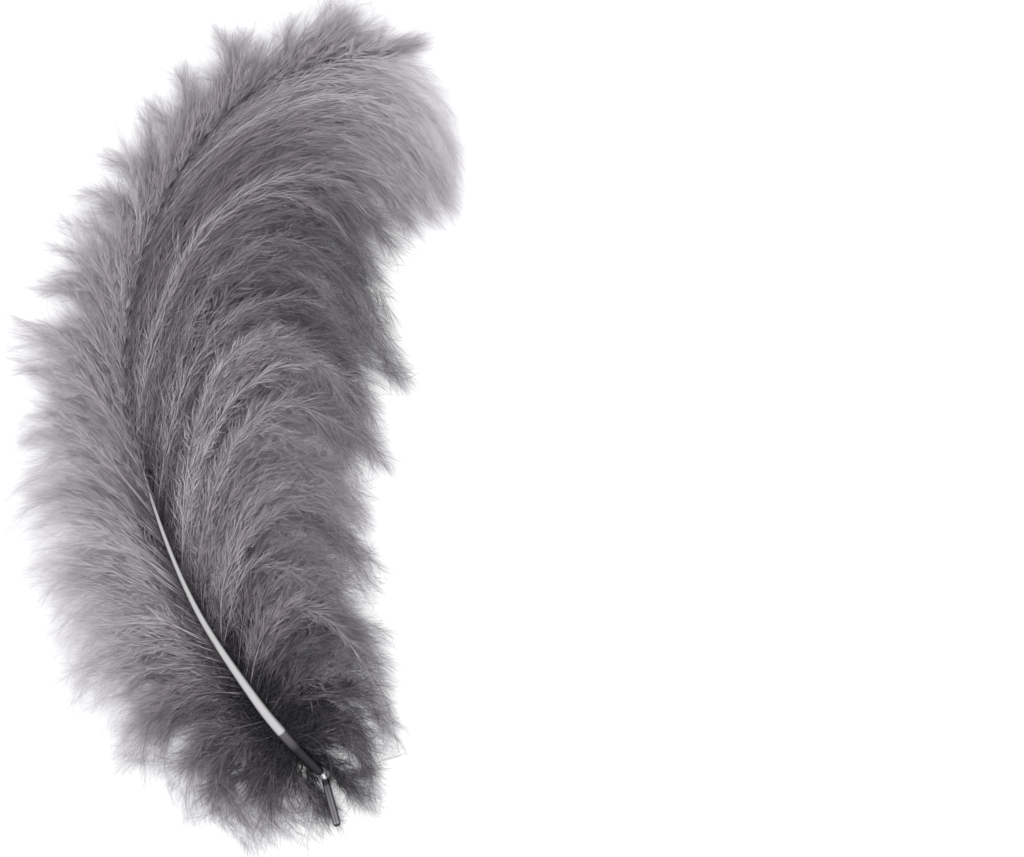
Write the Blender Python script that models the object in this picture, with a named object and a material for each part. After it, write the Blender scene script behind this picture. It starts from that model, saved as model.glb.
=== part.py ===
"""A dyed grey ostrich plume, lying on its side of soft barbs on a flat surface.

The feather grew as one piece, so it is one solid: a curved shaft, from the open end of its quill to the
thin tip that curls over, with locks of barbs rooted in both sides of it. Locks of the lower layer drop
to the surface close to the shaft and carry the feather. Locks of the upper layer leave the shaft almost
level and thin out over them. Everything under the surface is cut away, so the plume rests on flat faces.

The surface is z = 0, +Y runs from the quill towards the tip, and the origin lies on the surface, in the
middle of the plume's outline.
"""

import math

import bmesh
import bpy
from mathutils import Vector

MM = 0.001

# The line of the shaft from the quill's open end to its tip, in millimetres: across, along and above
# the surface. The first stretch is straight: it is the quill's end, bent off sharply from the rest.
SHAFT_LINE = (
    (21.4, -83.4, 1.1),
    (18.6, -72.8, 1.9),
    (10.5, -64.3, 3.2),
    (3.8, -55.6, 4.8),
    (-6.8, -39.0, 7.0),
    (-14.2, -22.0, 8.2),
    (-19.8, -3.0, 8.8),
    (-22.0, 13.0, 8.8),
    (-20.2, 30.0, 8.4),
    (-12.6, 50.0, 7.6),
    (0.2, 66.5, 6.6),
    (13.2, 74.2, 5.6),
    (26.2, 77.2, 4.6),
)
SHAFT_STEPS = 4
QUILL_BEND = 11.0
VANE_START = 17.0

# The shaft's radius, in millimetres, at these distances from the quill's open end.
SHAFT_RADII = (
    (0.0, 0.62),
    (1.2, 0.84),
    (QUILL_BEND - 1.5, 0.86),
    (QUILL_BEND, 0.62),
    (QUILL_BEND + 1.5, 1.05),
    (24.0, 1.10),
    (45.0, 0.84),
    (62.0, 0.60),
    (90.0, 0.42),
    (150.0, 0.32),
    (200.0, 0.26),
)
SHAFT_BEVEL_RESOLUTION = 1

# How the barbs lie on each side of the shaft. Each row is a place on the vane, from 0 at the quill to 1
# at the tip, then the barb's length in millimetres, and the angles in degrees that it makes with the
# shaft where it leaves it and where it ends.
OUTER_VANE = (
    (0.00, 23, 80, 155),
    (0.08, 31, 52, 125),
    (0.20, 37, 28, 88),
    (0.30, 34, 24, 76),
    (0.38, 31, 20, 66),
    (0.55, 26, 17, 50),
    (0.70, 22, 15, 42),
    (0.82, 21, 17, 38),
    (0.92, 22, 14, 25),
    (1.00, 17, 3, 5),
)
INNER_VANE = (
    (0.00, 19, 122, 195),
    (0.03, 23, 100, 178),
    (0.08, 29, 66, 144),
    (0.20, 47, 42, 120),
    (0.30, 59, 36, 112),
    (0.38, 66, 32, 108),
    (0.46, 69, 29, 107),
    (0.55, 69, 26, 108),
    (0.64, 67, 23, 110),
    (0.73, 62, 19, 114),
    (0.82, 54, 16, 114),
    (0.92, 36, 12, 82),
    (1.00, 17, 3, 8),
)
TURN_EXPONENT = 1.5

# A layer of locks: how fast it falls from the shaft to its resting height, in millimetres, how much it
# stands up between, and the locks' widest half width and half thickness.
LOWER_LAYER = {"fall": 6.0, "rest": 0.9, "rise": 0.0, "half_width": 3.9, "half_height": 1.7}
UPPER_LAYER = {"fall": 1.5, "rest": 2.6, "rise": 3.2, "half_width": 3.6, "half_height": 1.6}
LOCKS_PER_SIDE = 32
LOCK_STEPS = 8
LOCK_ROOT_WIDTH = 0.30
LOCK_WIDEST_AT = 0.45
LOCK_TIP_WIDTH = 0.03

# Small differences from lock to lock, as shares of a lock's length and of its angles.
LENGTH_VARIATION = 0.07
ANGLE_VARIATION = 0.10

CUTTER_SIDE = 0.4
WELD = 1e-6
FEATHER_COLOUR = (0.200, 0.180, 0.190, 1.0)
FEATHER_ROUGHNESS = 0.8


def clear_scene():
    """Removes the objects that a new file starts with."""
    for obj in list(bpy.data.objects):
        bpy.data.objects.remove(obj)


def read_table(table, where, column):
    """A column of a table at a place between its rows, by straight lines."""
    for low, high in zip(table, table[1:]):
        if where <= high[0]:
            share = (where - low[0]) / (high[0] - low[0])
            return low[column] + (high[column] - low[column]) * max(share, 0.0)
    return table[-1][column]


def shaft_centres(corners, steps):
    """Points of a line that runs straight between the first two corners and curves through the others."""
    open_end, *points = (Vector(corner) for corner in corners)
    line = [open_end.lerp(points[0], step / steps) for step in range(steps)]
    points = [2 * points[0] - points[1], *points, 2 * points[-1] - points[-2]]
    for before, start, end, after in zip(points, points[1:], points[2:], points[3:]):
        for step in range(steps):
            t = step / steps
            line.append(
                0.5
                * (
                    2 * start
                    + (end - before) * t
                    + (2 * before - 5 * start + 4 * end - after) * t**2
                    + (3 * start - before - 3 * end + after) * t**3
                )
            )
    line.append(points[-2])
    return line


class Shaft:
    """The shaft's centre line, which gives its place, heading and radius at any distance along it."""

    def __init__(self):
        self.line = shaft_centres(SHAFT_LINE, SHAFT_STEPS)
        self.distances = [0.0]
        for start, end in zip(self.line, self.line[1:]):
            self.distances.append(self.distances[-1] + (end - start).length)
        self.length = self.distances[-1]

    def place(self, distance):
        """The centre of the shaft at a distance from the quill's open end."""
        rows = list(zip(self.distances, self.line, self.line[1:], self.distances[1:]))
        for begun, start, end, ended in rows:
            if distance <= ended:
                return start.lerp(end, max(distance - begun, 0.0) / (ended - begun))
        return self.line[-1].copy()

    def heading(self, distance):
        """The direction of the shaft on the surface, as an angle from +X."""
        reach = 1.0
        ahead = self.place(min(distance + reach, self.length))
        behind = self.place(max(distance - reach, 0.0))
        return math.atan2(ahead.y - behind.y, ahead.x - behind.x)

    def radius(self, distance):
        """The shaft's radius at a distance from the quill's open end."""
        return read_table(SHAFT_RADII, distance, 1)


def tube(name, points, radii, profile=None, resolution=SHAFT_BEVEL_RESOLUTION):
    """A closed mesh object swept along points, round or with a profile, each radius a scale on it."""
    curve = bpy.data.curves.new(name, "CURVE")
    curve.dimensions = "3D"
    curve.twist_mode = "Z_UP"
    curve.use_fill_caps = True
    if profile is None:
        curve.bevel_depth = MM
        curve.bevel_resolution = resolution
    else:
        curve.bevel_mode = "OBJECT"
        curve.bevel_object = profile
    spline = curve.splines.new("POLY")
    spline.points.add(len(points) - 1)
    for spot, point, radius in zip(spline.points, points, radii):
        spot.co = (*(point * MM), 1.0)
        spot.radius = radius
    swept = bpy.data.objects.new(name, curve)
    bpy.context.scene.collection.objects.link(swept)
    bpy.context.view_layer.update()
    mesh = bpy.data.meshes.new_from_object(swept.evaluated_get(bpy.context.evaluated_depsgraph_get()))
    bpy.data.objects.remove(swept)
    bm = bmesh.new()
    bm.from_mesh(mesh)
    bmesh.ops.remove_doubles(bm, verts=bm.verts, dist=WELD)
    bmesh.ops.recalc_face_normals(bm, faces=bm.faces)
    bm.to_mesh(mesh)
    bm.free()
    return bpy.data.objects.new(name, mesh)


def lock_profile(layer):
    """A lock's cross-section, a flat diamond of half the given width and height, as a closed curve."""
    curve = bpy.data.curves.new("lock_profile", "CURVE")
    curve.dimensions = "2D"
    curve.fill_mode = "NONE"
    spline = curve.splines.new("POLY")
    wide = layer["half_width"] * MM
    high = layer["half_height"] * MM
    corners = ((wide, 0.0), (0.0, high), (-wide, 0.0), (0.0, -high))
    spline.points.add(len(corners) - 1)
    for spot, (x, y) in zip(spline.points, corners):
        spot.co = (x, y, 0.0, 1.0)
    spline.use_cyclic_u = True
    profile = bpy.data.objects.new("lock_profile", curve)
    profile.hide_render = True
    profile.display_type = "WIRE"
    bpy.context.scene.collection.objects.link(profile)
    return profile


def lock_width(share):
    """A lock's width at a share of its length, from its root to its pointed tip."""
    if share < LOCK_WIDEST_AT:
        swell = math.sin(0.5 * math.pi * share / LOCK_WIDEST_AT)
        return LOCK_ROOT_WIDTH + (1.0 - LOCK_ROOT_WIDTH) * swell
    fade = (share - LOCK_WIDEST_AT) / (1.0 - LOCK_WIDEST_AT)
    return max(LOCK_TIP_WIDTH, math.cos(0.5 * math.pi * fade))


def lock_line(shaft, vane, side, where, layer, variation):
    """The centre line of a lock. side is 1 left of the shaft and -1 right of it, seen from above."""
    distance = VANE_START + where * (shaft.length - VANE_START)
    length = read_table(vane, where, 1) * (1.0 + LENGTH_VARIATION * variation)
    leave = math.radians(read_table(vane, where, 2))
    end = math.radians(read_table(vane, where, 3)) * (1.0 + ANGLE_VARIATION * variation)
    heading = shaft.heading(distance)
    root = shaft.place(distance)
    spot = root.copy()
    points = [spot.copy()]
    step = length / LOCK_STEPS
    for number in range(LOCK_STEPS):
        middle = (number + 0.5) / LOCK_STEPS
        angle = heading + side * (leave + (end - leave) * middle**TURN_EXPONENT)
        spot.x += step * math.cos(angle)
        spot.y += step * math.sin(angle)
        share = (number + 1) / LOCK_STEPS
        rise = layer["rise"] * math.sin(math.pi * share)
        spot.z = layer["rest"] + (root.z - layer["rest"]) * (1.0 - share) ** layer["fall"] + rise
        points.append(spot.copy())
    return points


def make_locks(shaft):
    """The locks of both vanes, in two layers, as closed mesh objects."""
    locks = []
    for layer_name, layer, shift in (("lower", LOWER_LAYER, 0.25), ("upper", UPPER_LAYER, 0.75)):
        profile = lock_profile(layer)
        for vane_name, vane, side in (("outer", OUTER_VANE, 1), ("inner", INNER_VANE, -1)):
            count = LOCKS_PER_SIDE // 2
            for number in range(count):
                where = (number + shift) / count
                variation = math.sin(2.4 * number + side + 3.0 * shift)
                points = lock_line(shaft, vane, side, where, layer, variation)
                radii = [lock_width(step / LOCK_STEPS) for step in range(LOCK_STEPS + 1)]
                name = f"{layer_name}_{vane_name}_lock_{number + 1}"
                locks.append(tube(name, points, radii, profile))
        bpy.data.objects.remove(profile)
    return locks


def make_shaft(shaft):
    """The shaft's own solid, from the quill to the tip."""
    radii = [shaft.radius(distance) for distance in shaft.distances]
    return tube("feather", shaft.line, radii)


def surface_cutter():
    """A block that fills the space under the surface, with its top face at z = 0."""
    bpy.ops.mesh.primitive_cube_add(size=CUTTER_SIDE, location=(0.0, 0.0, -CUTTER_SIDE / 2))
    cutter = bpy.context.object
    cutter.name = "surface_cutter"
    cutter.hide_render = True
    cutter.display_type = "WIRE"
    return cutter


def join_and_cut(feather, locks, cutter):
    """Joins the locks to the shaft in one solid and cuts it off flat at the surface."""
    helpers = bpy.data.collections.new("locks")
    bpy.context.scene.collection.children.link(helpers)
    helpers.hide_render = True
    for lock in locks:
        helpers.objects.link(lock)
        lock.hide_render = True
        lock.display_type = "WIRE"
    union = feather.modifiers.new("join_locks", "BOOLEAN")
    union.operation = "UNION"
    union.operand_type = "COLLECTION"
    union.collection = helpers
    union.solver = "EXACT"
    cut = feather.modifiers.new("cut_at_surface", "BOOLEAN")
    cut.operation = "DIFFERENCE"
    cut.object = cutter
    cut.solver = "EXACT"


def feather_material():
    """The plain grey of the dyed barbs."""
    material = bpy.data.materials.new("dyed_barbs")
    material.use_nodes = True
    shader = material.node_tree.nodes["Principled BSDF"]
    shader.inputs["Base Color"].default_value = FEATHER_COLOUR
    shader.inputs["Roughness"].default_value = FEATHER_ROUGHNESS
    shader.inputs["Metallic"].default_value = 0.0
    return material


def main():
    """Builds the feather as one object."""
    clear_scene()
    shaft = Shaft()
    feather = make_shaft(shaft)
    bpy.context.scene.collection.objects.link(feather)
    join_and_cut(feather, make_locks(shaft), surface_cutter())
    feather.data.materials.append(feather_material())


main()
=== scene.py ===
"""The looks of a dyed grey ostrich plume, lying on a pale surface and seen from straight above.

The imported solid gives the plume's place and size. Here its shaft is drawn with its open, creased quill, and
its locks become barbs, each with its own soft barbules. Sizes are in millimetres up to the last step.
"""

import logging
import math
from dataclasses import dataclass, field
from enum import Enum

import bmesh
import bpy
import numpy as np
from mathutils import Matrix, Vector


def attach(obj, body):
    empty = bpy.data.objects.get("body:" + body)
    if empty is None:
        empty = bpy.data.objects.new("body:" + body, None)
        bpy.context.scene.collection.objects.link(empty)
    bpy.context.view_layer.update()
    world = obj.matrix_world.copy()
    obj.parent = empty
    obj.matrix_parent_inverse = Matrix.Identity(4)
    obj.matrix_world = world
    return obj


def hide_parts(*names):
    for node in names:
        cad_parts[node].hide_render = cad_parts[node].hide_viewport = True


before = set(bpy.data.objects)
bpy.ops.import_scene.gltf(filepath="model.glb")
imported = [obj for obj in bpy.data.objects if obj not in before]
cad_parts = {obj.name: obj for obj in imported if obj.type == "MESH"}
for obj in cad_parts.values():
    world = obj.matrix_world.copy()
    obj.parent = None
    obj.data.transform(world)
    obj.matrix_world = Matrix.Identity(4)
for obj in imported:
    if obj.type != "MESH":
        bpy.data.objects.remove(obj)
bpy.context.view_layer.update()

log = logging.getLogger("plume")

MM = 0.001
NODE = "feather"
BODY = "root"
UV_NAME = "OFBake"
ALONG = "along_mm"
ACROSS = "sideways"
UP = np.array([0.0, 0.0, 1.0])
TINY = 1e-6

# Colours are linear. A table has pairs of place and value, and keeps its first and last value beyond them.
Colour = tuple[float, float, float]
Table = tuple[tuple[float, float], ...]

# The line of the shaft, as in the solid: across, along and above the surface, from the quill's open end.
SHAFT_LINE = (
    (21.4, -83.4, 1.1),
    (18.6, -72.8, 1.9),
    (10.5, -64.3, 3.2),
    (3.8, -55.6, 4.8),
    (-6.8, -39.0, 7.0),
    (-14.2, -22.0, 8.2),
    (-19.8, -3.0, 8.8),
    (-22.0, 13.0, 8.8),
    (-20.2, 30.0, 8.4),
    (-12.6, 50.0, 7.6),
    (0.2, 66.5, 6.6),
    (13.2, 74.2, 5.6),
    (26.2, 77.2, 4.6),
)
VANE_START = 17.0

# The photograph's frame, and where the plume lies in it.
PHOTO_WIDTH = 1024
PHOTO_HEIGHT = 857
MM_PER_PIXEL = 0.21
ORIGIN_PIXEL = (236.0, 428.0)


class Side(Enum):
    """A vane of the plume, with the sign of its turn from the shaft, seen from above."""

    OUTER = 1
    INNER = -1


@dataclass(frozen=True)
class Flow:
    """How the barbs of one vane lie, at places on it.

    Attributes:
        where: The places, from 0 at the quill to 1 at the tip.
        length: A barb's length there, in millimetres.
        leave: Its angle to the shaft where it leaves it, in degrees.
        end: Its angle to the shaft at its own tip, in degrees.
    """

    where: tuple[float, ...]
    length: tuple[float, ...]
    leave: tuple[float, ...]
    end: tuple[float, ...]


FLOW = {
    Side.OUTER: Flow(
        where=(0, 0.02, 0.05, 0.08, 0.20, 0.30, 0.38, 0.55, 0.70, 0.82, 0.92, 1),
        length=(15, 20, 27, 31, 37, 34, 31, 26, 22, 21, 22, 17),
        leave=(150, 116, 72, 52, 28, 24, 20, 17, 15, 17, 14, 3),
        end=(174, 164, 143, 125, 88, 76, 66, 50, 42, 38, 25, 5),
    ),
    Side.INNER: Flow(
        where=(0, 0.015, 0.03, 0.08, 0.20, 0.30, 0.38, 0.46, 0.55, 0.64, 0.73, 0.82, 0.92, 1),
        length=(14, 18, 23, 29, 47, 59, 66, 69, 69, 67, 62, 54, 36, 17),
        leave=(164, 128, 100, 66, 42, 36, 32, 29, 26, 23, 19, 16, 12, 3),
        end=(186, 192, 178, 144, 120, 112, 108, 107, 108, 110, 114, 114, 82, 8),
    ),
}


@dataclass(frozen=True)
class BarbFinish:
    """The dyed barbs' colours for dark, middling and light strands.

    Attributes:
        name: Name of the material.
        dark: Colour of the darkest strands.
        middle: Colour of the usual strands.
        light: Colour of the lightest strands.
        root_shade: Share of its colour that a strand keeps along its inner third, as painted shade towards
            the shaft.
        root_deep_shade: Share of that which is left right at the shaft, as deeper painted shade.
        tip_lift: Share by which a strand goes over to the light colour at its tip.
        roughness: Roughness of the strands.
        gloss: Their specular level.
    """

    name: str
    dark: Colour
    middle: Colour
    light: Colour
    root_shade: float
    root_deep_shade: float
    tip_lift: float
    roughness: float
    gloss: float


@dataclass(frozen=True)
class HornFinish:
    """The horn of the shaft, as colours at distances in millimetres from the quill's open end.

    Attributes:
        name: Name of the material.
        quill: Pairs of distance and colour along the quill.
        vane: Pairs of distance and colour from there to the tip.
        end_light_and_shade: Pairs of place across, from the middle at 0 to a side at 1, and the share of its
            colour
            that the bent end keeps there: painted shade on its sides and middle, with painted light streaks
                between.
        rim_shade: The same for the rest of the shaft: painted shade on its sides.
        bend: Distances from which and up to which the bent end's painted light and shade give way to the
            rest's.
        wander: How far the colours' borders wander along the shaft.
        roughness: Roughness of the horn.
        gloss: Its specular level.
        fibre_scale: Fineness of its fibres.
        fibre_depth: Their depth, in metres.
    """

    name: str
    quill: tuple[tuple[float, Colour], ...]
    vane: tuple[tuple[float, Colour], ...]
    end_light_and_shade: Table
    rim_shade: Table
    bend: tuple[float, float]
    wander: float
    roughness: float
    gloss: float
    fibre_scale: float
    fibre_depth: float


DYED_BARBS = BarbFinish(
    name="dyed_barbs",
    dark=(0.036, 0.034, 0.041),
    middle=(0.290, 0.260, 0.290),
    light=(0.660, 0.625, 0.665),
    root_shade=0.75,
    root_deep_shade=0.25,
    tip_lift=0.25,
    roughness=0.72,
    gloss=0.18,
)
DYED_HORN = HornFinish(
    name="dyed_horn",
    quill=(
        (0.0, (0.030, 0.028, 0.034)), (0.5, (0.040, 0.037, 0.044)), (0.8, (0.340, 0.325, 0.350)),
        (1.3, (0.200, 0.190, 0.212)), (6.0, (0.160, 0.152, 0.172)), (8.8, (0.110, 0.104, 0.118)),
        (9.2, (0.006, 0.005, 0.007)), (10.3, (0.006, 0.005, 0.007)), (10.5, (0.600, 0.590, 0.620)),
        (11.4, (0.600, 0.590, 0.620)), (11.6, (0.006, 0.005, 0.007)), (19.0, (0.009, 0.008, 0.010)),
        (20.6, (0.060, 0.055, 0.062)), (23.6, (0.090, 0.084, 0.094)), (23.8, (0.440, 0.432, 0.446)),
        (26.0, (0.440, 0.430, 0.442)),
    ),
    vane=(
        (26.0, (0.440, 0.430, 0.442)), (60.0, (0.440, 0.428, 0.438)), (80.0, (0.360, 0.345, 0.358)),
        (95.0, (0.120, 0.108, 0.116)), (200.0, (0.060, 0.054, 0.060)),
    ),
    # Painted shade across the tube: on the bent end dark sides and middle with painted light streaks between,
    # on the rest darker sides.
    end_light_and_shade=((0.0, 0.45), (0.14, 0.55), (0.32, 1.0), (0.55, 0.85), (0.78, 0.16), (1.0, 0.10)),
    rim_shade=((0.5, 1.0), (1.0, 0.25)),
    bend=(9.8, 10.2),
    wander=0.6,
    roughness=0.48,
    gloss=0.3,
    fibre_scale=900.0,
    fibre_depth=0.00004,
)


def smooth_step(low: float | np.ndarray, high: float, values: np.ndarray) -> np.ndarray:
    """Eases from 0 at low to 1 at high."""
    share = np.clip((values - low) / (high - low), 0.0, 1.0)
    return share * share * (3.0 - 2.0 * share)


def read(table: Table, where: np.ndarray) -> np.ndarray:
    """A table's values at places, by straight lines between its pairs."""
    return np.interp(where, *zip(*table))


def unit(vectors: np.ndarray) -> np.ndarray:
    """The vectors at length 1."""
    return vectors / np.maximum(np.linalg.norm(vectors, axis=-1, keepdims=True), 1e-9)


def put(name: str, data: bpy.types.ID) -> bpy.types.Object:
    """Puts a new object with its data in the scene."""
    made = bpy.data.objects.new(name, data)
    bpy.context.scene.collection.objects.link(made)
    return made


class ShaftLine:
    """The centre line of the shaft, read at any distance from the quill's open end."""

    STEPS = 16

    def __init__(self, corners: tuple[tuple[float, float, float], ...]) -> None:
        """Runs straight between the first two corners, the bent quill's end, and curves through the others.

        Args:
            corners: Points of the line in millimetres, from the quill to the tip.
        """
        points = np.array(corners, float)
        share = np.arange(self.STEPS)[:, None] / self.STEPS
        line = [points[0] + (points[1] - points[0]) * share]
        points = points[1:]
        points = np.vstack((2 * points[0] - points[1], points, 2 * points[-1] - points[-2]))
        for before, start, end, after in zip(points, points[1:], points[2:], points[3:]):
            bend = 2 * before - 5 * start + 4 * end - after
            twist = 3 * start - before - 3 * end + after
            line.append(0.5 * (2 * start + (end - before) * share + bend * share**2 + twist * share**3))
        self.line = np.vstack((*line, points[-2]))
        steps = np.linalg.norm(np.diff(self.line, axis=0), axis=1)
        self.distances = np.concatenate(([0.0], np.cumsum(steps)))
        self.length = float(self.distances[-1])

    def place(self, distance: np.ndarray) -> np.ndarray:
        """Points of the centre line.

        Args:
            distance: Distances from the quill's open end.

        Returns:
            One point for each distance.
        """
        return np.stack([np.interp(distance, self.distances, self.line[:, k]) for k in range(3)], axis=-1)

    def tangent(self, distance: np.ndarray, reach: float = 0.8) -> np.ndarray:
        """Directions of the line at distances, measured over a reach to both sides."""
        ahead = self.place(np.minimum(distance + reach, self.length))
        behind = self.place(np.maximum(distance - reach, 0.0))
        return unit(ahead - behind)

    def vane_distance(self, where: np.ndarray) -> np.ndarray:
        """Distances from the quill's open end at places on the vane."""
        return VANE_START + where * (self.length - VANE_START)


class VaneFlow:
    """The lie of one vane: a map from a place on the shaft and a share of a barb to a spot on the surface."""

    PLACES = 241
    SHARES = 49
    REACH = 1.2
    TURN_EXPONENT = 1.5

    def __init__(self, shaft: ShaftLine, side: Side) -> None:
        """Lays the map out.

        Args:
            shaft: The line that the barbs leave.
            side: The vane.
        """
        lie = FLOW[side]
        where = np.linspace(0.0, 1.0, self.PLACES)
        length = np.interp(where, lie.where, lie.length)
        leave = np.radians(np.interp(where, lie.where, lie.leave))
        end = np.radians(np.interp(where, lie.where, lie.end))
        distance = shaft.vane_distance(where)
        tangent = shaft.tangent(distance, reach=1.0)
        heading = np.arctan2(tangent[:, 1], tangent[:, 0])
        step = self.REACH / (self.SHARES - 1)
        middle = (np.arange(self.SHARES - 1) + 0.5) * step
        turn = leave[:, None] + (end - leave)[:, None] * middle**self.TURN_EXPONENT
        angle = heading[:, None] + side.value * turn
        moves = np.stack((np.cos(angle), np.sin(angle)), axis=-1) * (length * step)[:, None, None]
        root = shaft.place(distance)
        spots = np.concatenate((np.zeros((self.PLACES, 1, 2)), np.cumsum(moves, axis=1)), axis=1)
        self.spots = spots + root[:, None, :2]
        self.height = root[:, 2]
        self.where = where

    def spot(self, where: np.ndarray, share: np.ndarray) -> np.ndarray:
        """Spots on the surface.

        Args:
            where: Places on the vane, from 0 to 1.
            share: Shares of a barb's length, from 0 to REACH.

        Returns:
            The spots, read between the map's own.
        """
        row = np.clip(where, 0.0, 1.0) * (self.PLACES - 1)
        column = np.clip(share / self.REACH, 0.0, 1.0) * (self.SHARES - 1)
        low_row = np.minimum(row.astype(int), self.PLACES - 2)
        low_column = np.minimum(column.astype(int), self.SHARES - 2)
        across = (row - low_row)[..., None]
        along = (column - low_column)[..., None]
        near, far = (
            self.spots[each, low_column] * (1 - along) + self.spots[each, low_column + 1] * along
            for each in (low_row, low_row + 1)
        )
        return near * (1 - across) + far * across


@dataclass
class Strands:
    """Many thin strands of one mesh, each a slender spindle with three sides and a point at both ends.

    Attributes:
        points: Centre lines in millimetres, as strands by points by 3.
        radii: Their radii in millimetres, as strands by points. The first and the last aren't used.
        tone: One value from 0, dark, to 1, light, for each strand.
        along: Values from 0 at the roots to 1 at the tips, as strands by points.
    """

    points: np.ndarray
    radii: np.ndarray
    tone: np.ndarray
    along: np.ndarray

    SIDES = 3
    TONE_WIDTH = 0.012
    MAP_MARGIN = 0.02

    def corners(self) -> np.ndarray:
        """The mesh's vertices, in metres: a point at the root, rings between, and a point at the tip."""
        count, length = self.radii.shape
        tangent = unit(np.gradient(self.points, axis=1)[:, 1:-1])
        across = unit(np.cross(tangent, UP) + TINY)
        upright = np.cross(tangent, across)
        turn = 2 * math.pi * np.arange(self.SIDES) / self.SIDES + 0.5 * math.pi
        ring = across[:, :, None] * np.cos(turn)[:, None] + upright[:, :, None] * np.sin(turn)[:, None]
        rings = self.points[:, 1:-1, None] + ring * self.radii[:, 1:-1, None, None]
        rings = rings.reshape(count, (length - 2) * self.SIDES, 3)
        return np.concatenate((self.points[:, :1], rings, self.points[:, -1:]), axis=1).reshape(-1, 3) * MM

    def faces(self) -> tuple[np.ndarray, np.ndarray]:
        """The faces of one strand.

        Returns:
            The vertex of each face corner, and how many corners each face has.
        """
        length = self.radii.shape[1]
        around = np.arange(self.SIDES)
        following = (around + 1) % self.SIDES
        starts = 1 + np.arange(length - 3)[:, None] * self.SIDES
        ahead = starts + self.SIDES
        quads = np.stack((starts + around, starts + following, ahead + following, ahead + around), axis=-1)
        last = 1 + (length - 3) * self.SIDES
        tip = np.full(self.SIDES, last + self.SIDES)
        roots = np.stack((0 * around, 1 + following, 1 + around), axis=-1)
        tips = np.stack((last + around, last + following, tip), axis=-1)
        corners = np.concatenate((roots.ravel(), quads.ravel(), tips.ravel()))
        sizes = np.concatenate((np.full(self.SIDES, 3), np.full(quads.size // 4, 4), np.full(self.SIDES, 3)))
        return corners, sizes

    def build(self, name: str) -> bpy.types.Object:
        """Makes the mesh object.

        Args:
            name: Name of the object.

        Returns:
            The object, linked to the scene.
        """
        count, length = self.radii.shape
        per_strand = (length - 2) * self.SIDES + 2
        pattern, sizes = self.faces()
        starts = np.arange(count)[:, None] * per_strand
        loops = (pattern[None, :] + starts).ravel()
        totals = np.tile(sizes, count)
        mesh = bpy.data.meshes.new(name)
        corners = self.corners()
        mesh.vertices.add(len(corners))
        mesh.vertices.foreach_set("co", corners.astype(np.float32).ravel())
        mesh.loops.add(len(loops))
        mesh.loops.foreach_set("vertex_index", loops.astype(np.int32))
        mesh.polygons.add(len(totals))
        mesh.polygons.foreach_set("loop_start", (np.cumsum(totals) - totals).astype(np.int32))
        mesh.polygons.foreach_set("loop_total", totals.astype(np.int32))
        mesh.update(calc_edges=True)
        mesh.polygons.foreach_set("use_smooth", np.ones(len(totals), bool))
        self.lay_map(mesh, pattern, per_strand)
        return put(name, mesh)

    def lay_map(self, mesh: bpy.types.Mesh, pattern: np.ndarray, per_strand: int) -> None:
        """Lays the strands on a map: tone across, place along the strand upwards.

        Args:
            mesh: The strands' mesh.
            pattern: The vertices of one strand's face corners.
            per_strand: How many vertices a strand has.
        """
        place = (pattern + self.SIDES - 1) // self.SIDES
        offset = ((pattern - 1) % self.SIDES - 1) * self.TONE_WIDTH * 0.5
        offset[(pattern == 0) | (pattern == per_strand - 1)] = 0.0
        span = 1.0 - 2 * self.MAP_MARGIN
        across = np.clip(self.tone, 0.0, 1.0)[:, None] * span + self.MAP_MARGIN + offset[None, :]
        upwards = np.clip(self.along[:, place], 0.0, 1.0) * span + self.MAP_MARGIN
        layer = mesh.uv_layers.new(name=UV_NAME, do_init=False)
        layer.uv.foreach_set("vector", np.stack((across, upwards), axis=-1).astype(np.float32).ravel())


@dataclass(frozen=True)
class BarbuleKind:
    """A kind of barbule, with sizes in millimetres and angles in degrees.

    Attributes:
        spacing: How far along a barb one tuft of them follows another.
        per_tuft: How many lie together in a tuft.
        length: The shortest and the longest.
        lean: The least and the greatest angle to the barb at the root.
        radius: Radius at the thickest place.
        bow: How far the outer part turns back to the barb's own course, from 0 to 1.
        unruly: How far the outer part strays, as a share of its length.
        tone: What is added to the barb's own tone.
        drop: How far the tips hang below their straight course, as a share of the length.
        clear: Least distance from the shaft where they have their whole length.
        starts: Share of a barb's length where they begin.
        thinning: Share of its thickness that a barbule loses at the vane's edge.
    """

    spacing: float
    per_tuft: int
    length: tuple[float, float]
    lean: tuple[float, float]
    radius: float
    bow: float
    unruly: float
    tone: float
    drop: float
    clear: float = 0.0
    starts: float = 0.0
    thinning: float = 0.75


SILK = BarbuleKind(
    spacing=1.00,
    per_tuft=4,
    length=(6.0, 11.0),
    lean=(5.0, 24.0),
    radius=0.046,
    bow=0.55,
    unruly=0.13,
    tone=0.02,
    drop=0.04,
    clear=3.2,
)
# The fluff hangs low under the silk; its darker tone is painted shade in the gaps between the layers.
FLUFF = BarbuleKind(
    spacing=1.20,
    per_tuft=3,
    length=(3.5, 7.0),
    lean=(14.0, 46.0),
    radius=0.060,
    bow=0.25,
    unruly=0.20,
    tone=-0.08,
    drop=0.20,
)
WISPS = BarbuleKind(
    spacing=4.6,
    per_tuft=2,
    length=(6.0, 12.0),
    lean=(3.0, 26.0),
    radius=0.034,
    bow=0.45,
    unruly=0.24,
    tone=0.14,
    drop=0.10,
    starts=0.42,
    thinning=0.35,
)


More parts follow.
